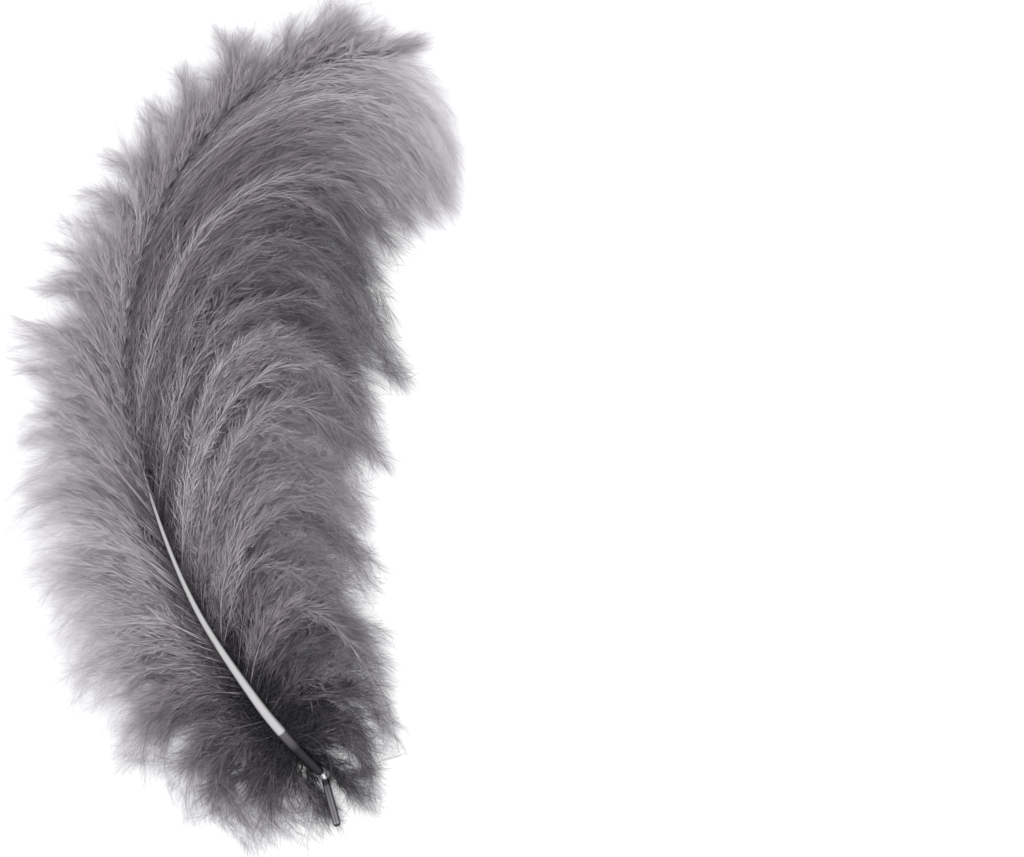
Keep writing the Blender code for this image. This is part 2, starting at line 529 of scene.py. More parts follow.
@dataclass(frozen=True)
class VaneKind:
    """What sets one vane apart from the other. Its tables go from the quill at 0 to the tip at 1.

    Attributes:
        seed: Seed of its small differences.
        barbs: How many barbs it has.
        density: How close the barbules stand, against the usual.
        root_crowd: Where on a barb its barbules crowd: below 1 near the shaft, above 1 near the tip.
        reach: Mean share of their full length that the longest barbs of a lock reach.
        shortfall: Share by which the shortest barbs of a lock fall short of that.
        fade: How far the barbules grow thin at the edge, against their kind's own thinning.
        pinch: How much the barbs of a lock draw together at most.
        sway: How far whole locks lean along the vane.
        ragged: How uneven the locks are in their reach.
        arch: How far along the vane a barb's middle stands up before its tip curls back down.
        crossing: Share of the barbs that lie across their neighbours.
        crossing_sway: How far those stray along the vane.
        downy: Places up to which the barbules are curly down, and from which they are smooth.
        crowding: How close the barbs stand.
        stem_highlight: The painted highlight that the tone of the uppermost barbs' own stems gains.
        patchy: How much neighbouring locks differ in tone.
        dye_and_shade: The tone along the vane: the dyed colour, darkened by painted shade at the base and
            over the inner vane's middle.
        contrast: How much neighbouring strands differ in tone.
        edge_start: Share of a barb's length from which it counts as the vane's edge.
        edge_tone_and_shade: What the tone gains at the vane's edge: lighter towards the fringe, and on the
            inner vane up to its middle a painted shadow along its deep far edge.
        silk_parts: How many pieces its long barbules are split into.
        fluff_parts: How many pieces its short barbules are split into.
    """

    seed: int
    barbs: int
    density: Table
    root_crowd: Table
    reach: float
    shortfall: Table
    fade: Table
    pinch: Table
    sway: Table
    ragged: Table
    arch: Table
    crossing: float
    crossing_sway: float
    downy: tuple[float, float]
    crowding: Table
    stem_highlight: Table
    patchy: Table
    dye_and_shade: Table
    contrast: Table
    edge_start: Table
    edge_tone_and_shade: Table
    silk_parts: int
    fluff_parts: int


VANES = {
    Side.OUTER: VaneKind(
        seed=11,
        barbs=330,
        density=((0, 1.3), (0.06, 1.15), (0.15, 0.91), (1, 0.87)),
        root_crowd=((0, 0.6),),
        reach=1.05,
        shortfall=((0, 0.36),),
        fade=((0, 0.9), (0.1, 1.05), (0.3, 1), (0.38, 0.65), (0.6, 0.7), (1, 1)),
        pinch=((0.55, 0.5), (0.7, 0.36)),
        sway=((0, 0.01), (0.6, 0.008), (0.72, 0.028), (0.9, 0.028), (1, 0.01)),
        ragged=((0.6, 0.05), (0.72, 0.12), (0.9, 0.12), (1, 0.05)),
        arch=((0, 0), (0.3, 0.015), (0.6, 0.02), (0.8, 0)),
        crossing=0.10,
        crossing_sway=0.040,
        downy=(0.05, 0.30),
        crowding=((0, 2), (0.12, 1.9), (0.3, 1.2), (0.5, 0.9), (0.9, 0.9), (1, 1.6)),
        stem_highlight=((0, 0.1), (0.3, 0.05), (1, 0.04)),
        patchy=((0, 0.09), (0.2, 0.045), (1, 0.03)),
        # Dyed tone, darker at the base as painted shade.
        dye_and_shade=(
            (0, 0.14), (0.05, 0.22), (0.1, 0.44), (0.18, 0.8), (0.3, 0.78), (0.6, 0.68), (0.8, 0.64),
            (1, 0.76),
        ),
        contrast=((0, 2), (0.12, 1.4), (0.22, 0.4), (0.3, 0)),
        edge_start=((0, 0.35),),
        edge_tone_and_shade=((0, 0.26), (0.1, 0.3), (0.3, 0.28), (0.5, 0.16), (0.8, 0.1), (1, 0.2)),
        silk_parts=2,
        fluff_parts=1,
    ),
    Side.INNER: VaneKind(
        seed=23,
        barbs=300,
        density=((0, 1.3), (0.06, 1.15), (0.22, 1.02), (0.3, 0.82), (0.4, 0.51), (1, 0.49)),
        root_crowd=((0, 0.6), (0.12, 0.7), (0.22, 1.2)),
        reach=1.08,
        shortfall=((0, 0.3), (0.2, 0.2), (0.35, 0.16), (0.7, 0.16), (0.8, 0.5), (1, 0.6)),
        fade=((0, 0.9), (0.25, 0.6), (0.72, 0.6), (0.82, 0.95), (1, 1)),
        pinch=((0, 0.5), (0.16, 0.4), (0.24, 0.16), (0.78, 0.16), (0.88, 0.4), (1, 0.5)),
        sway=((0, 0.016), (0.2, 0.008), (0.75, 0.006), (1, 0.016)),
        ragged=((0.3, 0.05), (0.4, 0.03), (0.75, 0.03), (0.86, 0.1), (1, 0.12)),
        arch=((0, 0), (0.06, 0.01), (0.32, 0.13), (0.45, 0.13), (0.65, 0.09), (0.85, 0.02), (1, 0)),
        crossing=0.18,
        crossing_sway=0.055,
        downy=(0.15, 0.60),
        crowding=((0, 2), (0.12, 2.4), (0.2, 2.5), (0.4, 1.8), (0.5, 1), (0.7, 0.8), (0.84, 0.58)),
        stem_highlight=((0, 0.16), (0.35, 0.14), (0.5, 0.06), (0.7, 0.03), (1, 0.02)),
        patchy=((0, 0.11), (0.2, 0.16), (0.4, 0.16), (0.5, 0.07), (1, 0.05)),
        # Dyed tone, darker at the base and over the middle as painted shade.
        dye_and_shade=(
            (0, 0.08), (0.08, 0.16), (0.12, 0.44), (0.18, 0.74), (0.32, 0.51), (0.6, 0.48),
            (0.74, 0.56), (0.86, 0.8), (1, 0.92),
        ),
        contrast=((0, 2), (0.15, 1.7), (0.38, 1.5), (0.48, 0.6), (0.58, 0)),
        edge_start=((0.44, 0.35), (0.56, 0.16), (0.66, 0.08)),
        # Painted shadow on the inner vane's far edge up to its middle; lighter at the fringe beyond.
        edge_tone_and_shade=(
            (0, 0.18), (0.05, 0), (0.15, -0.14), (0.25, -0.38), (0.42, -0.44), (0.48, 0.1),
            (0.54, 0.5), (0.7, 0.6), (1, 0.46),
        ),
        silk_parts=3,
        fluff_parts=2,
    ),
}


@dataclass
class Vane:
    """The barbs of one side, in locks, each barb with its own barbules.

    Attributes:
        shaft: The line that the barbs leave.
        side: The vane.
        per_lock: How many neighbouring barbs draw together in a lock.
        barb_points: Points on a barb's centre line.
        ramus_radii: Radii of a barb's own stem at its root and its tip.
        loft: How high the uppermost barbs stand above their straight course.
        lift: Share of their height that the uppermost barbs keep, low at the quill.
        bare: Place on the vane up to which the shaft shows bare on top of the barbs.
        room: How far from the middle a barbule may reach, across and along.
    """

    shaft: ShaftLine
    side: Side
    per_lock: int = 8
    barb_points: int = 15
    ramus_radii: tuple[float, float] = (0.085, 0.020)
    loft: float = 5.0
    lift: Table = ((0, 0.2), (0.05, 0.5), (0.14, 1))
    bare: float = 0.34
    room: tuple[float, float] = (56.5, 98.0)

    # Locks: their drift, their share in a barb's level, and where along a barb they draw together and part.
    LOCK_DRIFT = 0.006
    LOCK_LEVEL = 0.35
    LOOSE_LEVELS = (0.25, 0.75)
    PINCH_SPREAD = (0.1, 1.0)
    PINCH_SHARES = (0.04, 0.55)
    PINCH_RELEASE = 0.6
    # Barbs: their places, their reach in a lock and at the head, and the shape of their course.
    CROWD_STEPS = 401
    ROOT_SPREAD = (0.2, 0.8)
    SHORTFALL_BIAS = 1.3
    HEAD = (0.86, 1.0)
    HEAD_SHORTFALL = 0.22
    REACHES = (0.50, 1.15)
    CROSSING_BEND = 1.5
    ARCH_SPREAD = (0.3, 1.4)
    ARCH_BEND = 1.15
    WAVES = (3.0, 9.0)
    WAVE_STARTS = (0.0, 6.3)
    WAVE_DEPTH = 0.009
    # Tones: each barb's own noise, and painted light and shade by its level, higher barbs lighter and lower
    # ones darker, as a base and a share of the contrast; high-lying stray barbs get a painted highlight.
    BARB_NOISE = (0.012, 0.014)
    LEVEL_LIGHT_AND_SHADE = (0.06, 0.06)
    STRAY_HIGHLIGHT = 0.10
    STRAY_LEVELS = (0.3, 0.7)
    # Heights in millimetres, and how early the barbs fall, rise and sag.
    LOW_TIP = 0.7
    TIP_RISE = 3.6
    FALL_BEND = (0.55, 0.5)
    BULGE_BEND = 0.8
    SAG = 2.2
    SAG_BEND = 0.6
    LEAST_HEIGHT = 0.35
    STEM_LIFT = 0.25
    STEM_LEVELS = (0.6, 1.0)
    # The uppermost barbs' stems get a painted highlight, dimmed where the vane's edge has painted shade.
    HIGHLIGHT_LEVELS = (0.75, 1.0)
    EDGE_SHADE_ON_STEMS = 0.5
    # Painted shade in the valley beside the bare shaft, where shadow falls: its distances from the shaft, and
    # the places where it ends.
    GROOVE_WIDTH = (1.3, 4.6)
    GROOVE_END = (0.26, 0.44)
    GROOVE_SHADE = 0.9
    GROOVE_TIP_SHADE = 0.6
    GROOVE_PAINTED_SHADE = 0.50
    # Barbules that would lie over the bare shaft: how near they are, and the ceiling that they keep under.
    NEAR_SHAFT = 8.0
    BARE_MARGIN = 0.05
    CEILING_GAP = 1.7
    CEILING_SLOPE = 0.9
    CEILING_DROP = -0.4
    # Barbules: how their places, angles in degrees, lengths, curls, radii and tones scatter.
    FEWEST_TUFTS = 6
    PLACE_SCATTER = 0.016
    ROUND_SCATTER = 0.45
    LEAN_SCATTER = 4.0
    DOWNY_LEAN = 0.6
    STRAYS = 0.04
    STRAY_LEAN = 16.0
    STRAY_LENGTH = 0.25
    FLATNESS = 0.6
    LENGTH_SPREAD = (0.75, 1.1)
    NEAR_LENGTH = 0.30
    NEAR_START = 0.3
    NEAR_MARGIN = 0.01
    CURL_SCATTER = 0.6
    DOWNY_CURL = 0.9
    KNEE = (0.42, 0.58)
    LEAST_BARBULE_HEIGHT = 0.08
    MOST_THINNING = 0.80
    RADIUS_SPREAD = (0.75, 1.15)
    TUFT_TONE = 0.045
    BARBULE_TONE = 0.030
    # Where a barbule's points lie along its strand, which sets its painted root shade and its lighter tip.
    PLACE_SHADE = 0.7
    TIP_SHADE = np.array((0.0, 0.12, 0.30))

    def __post_init__(self) -> None:
        """Lays out the vane's flow and its random numbers."""
        self.kind = VANES[self.side]
        self.flow = VaneFlow(self.shaft, self.side)
        self.random = np.random.default_rng(self.kind.seed)

    def barb_places(self) -> np.ndarray:
        """Places of the barbs on the vane, closer together where they crowd."""
        where = np.linspace(0.0, 1.0, self.CROWD_STEPS)
        crowd = read(self.kind.crowding, where)
        share = np.concatenate(([0.0], np.cumsum(0.5 * (crowd[1:] + crowd[:-1]))))
        count = self.kind.barbs
        wanted = (np.arange(count) + self.random.uniform(*self.ROOT_SPREAD, count)) / count
        return np.interp(wanted * share[-1], share, where)

    def lay_barbs(self) -> None:
        """Works out each barb's place, its lock, its tone and its centre line."""
        rng = self.random
        kind = self.kind
        count = kind.barbs
        self.where = where = self.barb_places()
        lock = np.arange(count) // self.per_lock
        locks = lock.max() + 1
        lock_where = np.bincount(lock, where) / np.bincount(lock)
        lock_where += rng.normal(0.0, self.LOCK_DRIFT, locks)
        lock_level = rng.uniform(0.0, 1.0, locks)
        lock_tone = rng.normal(0.0, read(kind.patchy, lock_where))
        lock_reach = rng.normal(kind.reach, read(kind.ragged, lock_where))
        lock_pinch = rng.uniform(*self.PINCH_SPREAD, locks) * read(kind.pinch, lock_where)
        lock_sway = rng.normal(0.0, read(kind.sway, lock_where))
        strays = rng.uniform(0.0, 1.0, count) < kind.crossing
        crossing = strays * rng.normal(0.0, kind.crossing_sway, count)
        level = self.LOCK_LEVEL * lock_level[lock] + (1.0 - self.LOCK_LEVEL) * rng.uniform(0.0, 1.0, count)
        self.level = np.clip(level, 0.0, 1.0)
        self.tone = self.barb_tones(lock_tone[lock], strays)
        shortfall = read(kind.shortfall, where) * rng.uniform(0.0, 1.0, count) ** self.SHORTFALL_BIAS
        reach = lock_reach[lock] * (1.0 - shortfall)
        reach *= 1.0 - self.HEAD_SHORTFALL * smooth_step(*self.HEAD, where)
        reach = np.clip(reach, *self.REACHES)
        share = np.linspace(0.0, 1.0, self.barb_points)[None, :]
        loose = smooth_step(*self.LOOSE_LEVELS, self.level)[:, None]
        start, end = self.PINCH_SHARES
        pinch = smooth_step(start, end, share) * (1.0 - self.PINCH_RELEASE * smooth_step(end, 1.0, share))
        pinch = pinch * loose * lock_pinch[lock][:, None]
        drawn = where[:, None] + (lock_where[lock] - where)[:, None] * pinch
        drawn += loose * lock_sway[lock][:, None] * share**2
        drawn += crossing[:, None] * share**self.CROSSING_BEND
        arch = read(kind.arch, where) * rng.uniform(*self.ARCH_SPREAD, count)
        drawn += arch[:, None] * np.sin(math.pi * share**self.ARCH_BEND)
        wave = share * rng.uniform(*self.WAVES, (count, 1))
        wave = wave + rng.uniform(*self.WAVE_STARTS, (count, 1))
        drawn = drawn + np.sin(wave) * share * self.WAVE_DEPTH
        spots = self.flow.spot(drawn, share * reach[:, None])
        self.lines = np.concatenate((spots, self.height(share)[..., None]), axis=-1)
        self.length = np.linalg.norm(np.diff(self.lines, axis=1), axis=-1).sum(axis=1)
        away = np.linalg.norm(spots[:, :, None] - self.shaft.line[None, None, :, :2], axis=-1)
        self.clearance = away.min(axis=-1)

    def barb_tones(self, lock_tone: np.ndarray, strays: np.ndarray) -> np.ndarray:
        """The barbs' tones.

        Args:
            lock_tone: What each barb's lock adds.
            strays: Which barbs lie across their neighbours.

        Returns:
            One tone for each barb.
        """
        contrast = read(self.kind.contrast, self.where)
        base, extra = self.BARB_NOISE
        tone = read(self.kind.dye_and_shade, self.where) + lock_tone
        tone += (base + extra * contrast) * self.random.normal(0.0, 1.0, self.kind.barbs)
        # Painted light and shade: higher barbs lighter, lower ones darker.
        base, extra = self.LEVEL_LIGHT_AND_SHADE
        tone += (base + extra * contrast) * (self.level - 0.5)
        return tone + self.STRAY_HIGHLIGHT * strays * smooth_step(*self.STRAY_LEVELS, self.level)

    def height(self, share: np.ndarray) -> np.ndarray:
        """Heights of the barbs above the surface.

        Args:
            share: Shares of a barb's length.

        Returns:
            One height for each barb and share.
        """
        root = np.interp(self.where, self.flow.where, self.flow.height)[:, None]
        level = self.level[:, None] * read(self.lift, self.where)[:, None]
        tip = self.LOW_TIP + self.TIP_RISE * level
        early, late = self.FALL_BEND
        fall = smooth_step(0.0, 1.0, share) ** (early + late * level)
        bulge = self.loft * level * np.sin(math.pi * share**self.BULGE_BEND)
        sag = self.SAG * (1.0 - level) * np.sin(math.pi * share**self.SAG_BEND)
        return np.maximum(root + (tip - root) * fall + bulge - sag, self.LEAST_HEIGHT)

    def valley_shade(self, clearance: np.ndarray, where: np.ndarray) -> np.ndarray:
        """How deep in the painted shade beside the bare shaft a place lies, from 0 to 1.

        Args:
            clearance: Its distance from the shaft.
            where: Its barb's place on the vane.

        Returns:
            One value for each place.
        """
        beside = 1.0 - smooth_step(*self.GROOVE_WIDTH, clearance)
        return beside * (1.0 - smooth_step(*self.GROOVE_END, where))

    def rami(self) -> Strands:
        """The barbs' own stems, with a painted highlight on the uppermost barbs and painted shade beside the
        bare shaft.
        """
        share = np.linspace(0.0, 1.0, self.barb_points)
        lines = self.lines.copy()
        lines[..., 2] += self.STEM_LIFT * smooth_step(*self.STEM_LEVELS, self.level)[:, None]
        stem_highlight = read(self.kind.stem_highlight, self.where)
        stem_highlight += self.EDGE_SHADE_ON_STEMS * np.minimum(read(self.kind.edge_tone_and_shade, self.where), 0.0)
        return Strands(
            points=lines,
            radii=np.tile(np.interp(share, (0.0, 1.0), self.ramus_radii), (self.kind.barbs, 1)),
            tone=self.tone + stem_highlight * smooth_step(*self.HIGHLIGHT_LEVELS, self.level),
            along=share * (1.0 - self.GROOVE_SHADE * self.valley_shade(self.clearance, self.where[:, None])),
        )

    def plant(self, kind: BarbuleKind) -> tuple[np.ndarray, np.ndarray]:
        """Sets the tufts out along the barbs.

        Args:
            kind: The barbules' kind.

        Returns:
            The barb of each tuft, and the share of its length where each barbule of the tuft starts.
        """
        density = read(self.kind.density, self.where)
        counts = np.maximum((self.length * density / kind.spacing).astype(int), self.FEWEST_TUFTS)
        barb = np.repeat(np.arange(self.kind.barbs), counts)[:, None]
        first = np.repeat(np.cumsum(counts) - counts, counts)
        tufts = len(barb)
        place = (np.arange(tufts) - first + self.random.uniform(0.0, 1.0, tufts))[:, None] / counts[barb]
        crowd = read(self.kind.root_crowd, self.where[barb])
        place = place * (crowd + (1.0 - crowd) * place)
        place = kind.starts + (1.0 - kind.starts) * place
        scatter = self.random.normal(0.0, self.PLACE_SCATTER, (tufts, kind.per_tuft))
        return barb, np.clip(place + scatter, 0.0, 1.0)

    def draw(self, kind: BarbuleKind, barb: np.ndarray, place: np.ndarray) -> tuple[np.ndarray, np.ndarray]:
        """Draws the barbules' centre lines.

        Args:
            kind: Their kind.
            barb: The barb of each tuft.
            place: Where on it each barbule of the tuft starts.

        Returns:
            Three points for each barbule, and its root's distance from the shaft.
        """
        rng = self.random
        tuft, shape = barb.shape, place.shape
        where = self.where[barb]
        root, tangent, clearance = self.read_barbs(barb, place)
        across = unit(np.cross(tangent, UP) + TINY)
        upright = np.cross(across, tangent)
        downy = 1.0 - smooth_step(*self.kind.downy, where)
        around = rng.uniform(0.0, 2 * math.pi, tuft) + rng.normal(0.0, self.ROUND_SCATTER, shape)
        stray = (rng.uniform(0.0, 1.0, shape) < self.STRAYS) * 1.0
        lean = rng.uniform(*kind.lean, tuft) * (1.0 + self.DOWNY_LEAN * downy)
        lean = np.radians(lean + rng.normal(0.0, self.LEAN_SCATTER, shape) + self.STRAY_LEAN * stray)
        outwards = across * np.cos(around)[..., None] + self.FLATNESS * upright * np.sin(around)[..., None]
        length = rng.uniform(*kind.length, tuft) * rng.uniform(*self.LENGTH_SPREAD, shape)
        length *= 1.0 + self.STRAY_LENGTH * stray
        clear = smooth_step(self.NEAR_START * kind.clear, kind.clear + self.NEAR_MARGIN, clearance)
        length *= self.NEAR_LENGTH + (1.0 - self.NEAR_LENGTH) * clear
        start = tangent * np.cos(lean)[..., None] + outwards * np.sin(lean)[..., None]
        curl = rng.normal(0.0, kind.unruly, (*tuft, 3))
        curl = curl + rng.normal(0.0, self.CURL_SCATTER * kind.unruly, (*shape, 3))
        curl *= 1.0 + self.DOWNY_CURL * downy[..., None]
        end = unit(start * (1.0 - kind.bow) + tangent * kind.bow + curl)
        inner, outer = self.KNEE
        middle = root + start * (inner * length)[..., None]
        tip = middle + end * (outer * length)[..., None]
        tip[..., 2] -= kind.drop * length
        points = self.keep_inside(np.stack((root, middle, tip), axis=-2))
        near = (where < self.bare) & (clearance < self.NEAR_SHAFT)
        points[near] = self.clear_shaft(points[near])
        points[..., 2] = np.maximum(points[..., 2], self.LEAST_BARBULE_HEIGHT)
        return points, clearance

    def grow(self, kind: BarbuleKind) -> Strands:
        """The barbules of one kind on all the barbs.

        Args:
            kind: Which.

        Returns:
            The barbules, in tufts that lie together.
        """
        rng = self.random
        barb, place = self.plant(kind)
        points, clearance = self.draw(kind, barb, place)
        shape = place.shape
        where = self.where[barb]
        edge = smooth_step(read(self.kind.edge_start, where), 1.0, place)
        thin = np.minimum(kind.thinning * read(self.kind.fade, where) * edge, self.MOST_THINNING)
        radius = kind.radius * (1.0 - thin) * rng.uniform(*self.RADIUS_SPREAD, shape)
        # Painted shade in the valley beside the bare shaft darkens the tone and the root shading.
        valley_shade = self.valley_shade(clearance, where)
        noise = rng.normal(0.0, self.TUFT_TONE, barb.shape) + rng.normal(0.0, self.BARBULE_TONE, shape)
        tone = self.tone[barb] + read(self.kind.contrast, where) * noise
        tone += kind.tone + read(self.kind.edge_tone_and_shade, where) * edge - self.GROOVE_PAINTED_SHADE * valley_shade
        along = (place * self.PLACE_SHADE * (1.0 - self.GROOVE_SHADE * valley_shade))[..., None]
        along = along + self.TIP_SHADE * (1.0 - self.GROOVE_TIP_SHADE * valley_shade[..., None])
        return Strands(
            points=points.reshape(-1, 3, 3),
            radii=np.repeat(radius.reshape(-1, 1), 3, axis=1),
            tone=tone.reshape(-1),
            along=along.reshape(-1, 3),
        )

    def keep_inside(self, points: np.ndarray) -> np.ndarray:
        """Shortens barbules that would reach out of the room.

        Args:
            points: Points of the barbules, with the three of a barbule next to last.

        Returns:
            The points, all of them inside.
        """
        root = points[..., :1, :]
        moves = points[..., :2] - root[..., :2]
        room = np.maximum(np.array(self.room) - np.sign(moves) * root[..., :2], 0.0)
        share = (room / np.maximum(np.abs(moves), TINY)).min(axis=(-2, -1), keepdims=True)
        return root + (points - root) * np.minimum(share, 1.0)

    def clear_shaft(self, points: np.ndarray) -> np.ndarray:
        """Lowers barbules that would lie over the bare shaft to its side or under it.

        Args:
            points: Points of the barbules, as barbules by points by 3.

        Returns:
            The points, none of them over the shaft.
        """
        end = self.shaft.vane_distance(np.array(self.bare + self.BARE_MARGIN))
        lower = self.shaft.line[self.shaft.distances < end]
        away = np.linalg.norm(points[:, :, None, :2] - lower[None, None, :, :2], axis=-1)
        nearest = away.argmin(axis=-1)
        gap = np.take_along_axis(away, nearest[..., None], axis=-1)[..., 0]
        rise = self.CEILING_SLOPE * (gap - self.CEILING_GAP)
        ceiling = lower[nearest, 2] + np.maximum(self.CEILING_DROP, rise)
        points = points.copy()
        points[..., 2] = np.minimum(points[..., 2], ceiling)
        return points

    def read_barbs(self, barb: np.ndarray, place: np.ndarray) -> tuple[np.ndarray, np.ndarray, np.ndarray]:
        """Reads the barbs' centre lines.

        Args:
            barb: The barbs' numbers.
            place: Shares of the barbs' lengths.

        Returns:
            The points there, the barbs' directions and the distances from the shaft.
        """
        column = place * (self.barb_points - 1)
        low = np.minimum(column.astype(int), self.barb_points - 2)
        share = column - low
        start = self.lines[barb, low]
        end = self.lines[barb, low + 1]
        clearance = self.clearance[barb, low] * (1 - share) + self.clearance[barb, low + 1] * share
        return start * (1 - share[..., None]) + end * share[..., None], unit(end - start), clearance


def split_strands(strands: Strands, parts: int) -> list[Strands]:
    """Splits strands into runs of like size, in their order from the quill to the tip."""
    runs = np.array_split(np.arange(len(strands.tone)), parts)
    values = (strands.points, strands.radii, strands.tone, strands.along)
    return [Strands(*(each[run] for each in values)) for run in runs]


@dataclass
class Shaft:
    """The shaft with its quill: a squarish tube, open and creased at the quill, that thins out to a hair.

    Attributes:
        line: Its centre line.
        sides: Faces around it.
        radii: Pairs of distance from the quill's open end and radius, in millimetres.
        crease: Distance of the crease at the quill's bend, its half width, and how far it flattens the quill.
        bore_depth: Depth of the quill's open end.
        wall: Thickness of the quill's wall at its open end.
    """

    line: ShaftLine
    sides: int = 16
    radii: Table = (
        (0, 0.56), (0.25, 0.70), (0.6, 0.79), (1.2, 0.84), (9.3, 0.84), (10, 0.72), (10.4, 0.50), (11, 0.34),
        (11.5, 0.46), (12.1, 0.90), (13.2, 1.02), (18, 1.08), (23, 1.10), (37, 0.89), (50, 0.68), (65, 0.48),
        (86, 0.28), (120, 0.19), (197, 0.09),
    )
    crease: tuple[float, float, float] = (11.0, 0.6, 0.35)
    bore_depth: float = 2.6
    wall: float = 0.22

    BORE_RINGS = 5
    TURN_REACH = 0.5
    SQUARE = 0.30
    SQUARE_FROM = (14.0, 30.0)
    SQUARE_SWELL = 0.18
    CREASE_SPREAD = 0.25

    def rings(self) -> np.ndarray:
        """Distances of the rings, close together where the quill is open, creased or changes colour."""
        return np.concatenate((
            np.array((0.0, 0.25, 0.6, 1.2)),
            np.arange(2.0, 9.5, 1.0),
            np.arange(9.5, 12.6, 0.15),
            np.arange(13.0, 26.0, 1.0),
            np.arange(27.5, self.line.length, 2.0),
        ))

    def build(self) -> bpy.types.Object:
        """Extrudes the tube ring by ring and closes it.

        Returns:
            The shaft's object, with the distance from the quill's end and the place across as attributes.
        """
        bm = bmesh.new()
        along = bm.verts.layers.float.new(ALONG)
        sideways = bm.verts.layers.float.new(ACROSS)
        known, sizes = zip(*self.radii)
        made = bmesh.ops.create_circle(bm, cap_ends=False, segments=self.sides, radius=1.0)
        ring = made["verts"]
        unit_ring = [vert.co.copy() for vert in ring]
        edges = list(bm.edges)
        floor_ring = edges
        bore = np.linspace(self.bore_depth, 0.0, self.BORE_RINGS)
        distances = np.concatenate((bore, self.rings()))
        radii = np.interp(distances, known, sizes)
        radii[:len(bore)] -= self.wall
        for number, (distance, radius) in enumerate(zip(distances.tolist(), radii.tolist())):
            if number:
                grown = bmesh.ops.extrude_edge_only(bm, edges=edges)["geom"]
                ring = [item for item in grown if isinstance(item, bmesh.types.BMVert)]
                edges = [item for item in grown if isinstance(item, bmesh.types.BMEdge)]
                edges = [edge for edge in edges if all(vert in ring for vert in edge.verts)]
            for vert, corner in zip(ring, unit_ring):
                vert.co = self.place_corner(distance, radius, corner)
                vert[along] = distance
                vert[sideways] = corner.x
        bmesh.ops.contextual_create(bm, geom=edges)
        bmesh.ops.contextual_create(bm, geom=floor_ring)
        bmesh.ops.recalc_face_normals(bm, faces=bm.faces)
        for face in bm.faces:
            face.smooth = len(face.verts) == 4
        mesh = bpy.data.meshes.new("shaft")
        bm.to_mesh(mesh)
        bm.free()
        return put("shaft", mesh)

    def place_corner(self, distance: float, radius: float, corner: Vector) -> Vector:
        """Puts a corner of the unit ring in its place around the centre line.

        Args:
            distance: The ring's distance from the quill's open end.
            radius: The ring's radius.
            corner: The corner on a circle of radius 1.

        Returns:
            The corner's place in metres.
        """
        centre = self.line.place(np.array(distance))
        tangent = self.line.tangent(np.array(distance), reach=self.TURN_REACH)
        across = unit(np.cross(tangent, UP))
        upright = np.cross(across, tangent)
        angle = math.atan2(corner.y, corner.x)
        square = self.SQUARE * smooth_step(*self.SQUARE_FROM, np.array(distance))
        swell = 1.0 + square * self.SQUARE_SWELL * (1.0 - math.cos(4.0 * angle))
        crease, spread, depth = self.crease
        flat = 1.0 - depth * math.exp(-((distance - crease) / spread) ** 2)
        sideways = radius * swell * math.cos(angle) * (1.0 + self.CREASE_SPREAD * (1.0 - flat))
        upwards = radius * swell * math.sin(angle) * flat
        return Vector((centre + across * sideways + upright * upwards) * MM)


Socket = bpy.types.NodeSocket
Inputs = dict[str | int, object]


class Graph:
    """A shader node tree, with short ways to add to it."""

    def __init__(self, tree: bpy.types.NodeTree) -> None:
        """Takes the tree."""
        self.tree = tree

    def feed(self, node: bpy.types.Node, inputs: Inputs) -> None:
        """Gives a node's inputs their values.

        Args:
            node: The node.
            inputs: For each input a plain value, or the socket that it comes from.
        """
        for name, value in inputs.items():
            if isinstance(value, Socket):
                self.tree.links.new(value, node.inputs[name])
            else:
                node.inputs[name].default_value = value

    def add(self, kind: str, inputs: Inputs | None = None, **settings: object) -> bpy.types.Node:
        """Adds a shader node.

        Args:
            kind: Its type, without the word that all of them start with.
            inputs: What its inputs get.
            settings: Its own settings.

        Returns:
            The node.
        """
        node = self.tree.nodes.new(f"ShaderNode{kind}")
        for name, value in settings.items():
            setattr(node, name, value)
        self.feed(node, inputs or {})
        return node

    def stretch(self, value: Socket, low: float, high: float, least: float | Socket = 0.0) -> Socket:
        """A value from a least one at low to 1 at high, held outside them."""
        inputs = {"Value": value, "From Min": low, "From Max": high, "To Min": least}
        return self.add("MapRange", inputs).outputs["Result"]

    def mix(self, factor: Socket, first: Socket, second: Socket) -> Socket:
        """The mix of two colours by a factor."""
        inputs = {"Factor": factor, "A": first, "B": second}
        return self.add("Mix", inputs, data_type="RGBA").outputs["Result"]

    def ramp(self, share: Socket, stops: list[tuple[float, Colour]]) -> Socket:
        """A colour read from stops.

        Args:
            share: A value from 0 to 1.
            stops: Pairs of share and colour.

        Returns:
            The colour's socket.
        """
        node = self.add("ValToRGB", {"Fac": share})
        elements = node.color_ramp.elements
        while len(elements) > 1:
            elements.remove(elements[-1])
        for number, (spot, colour) in enumerate(stops):
            place = min(spot, 1.0)
            element = elements.new(place) if number else elements[0]
            element.position = place
            element.color = (*colour, 1.0)
        return node.outputs["Color"]


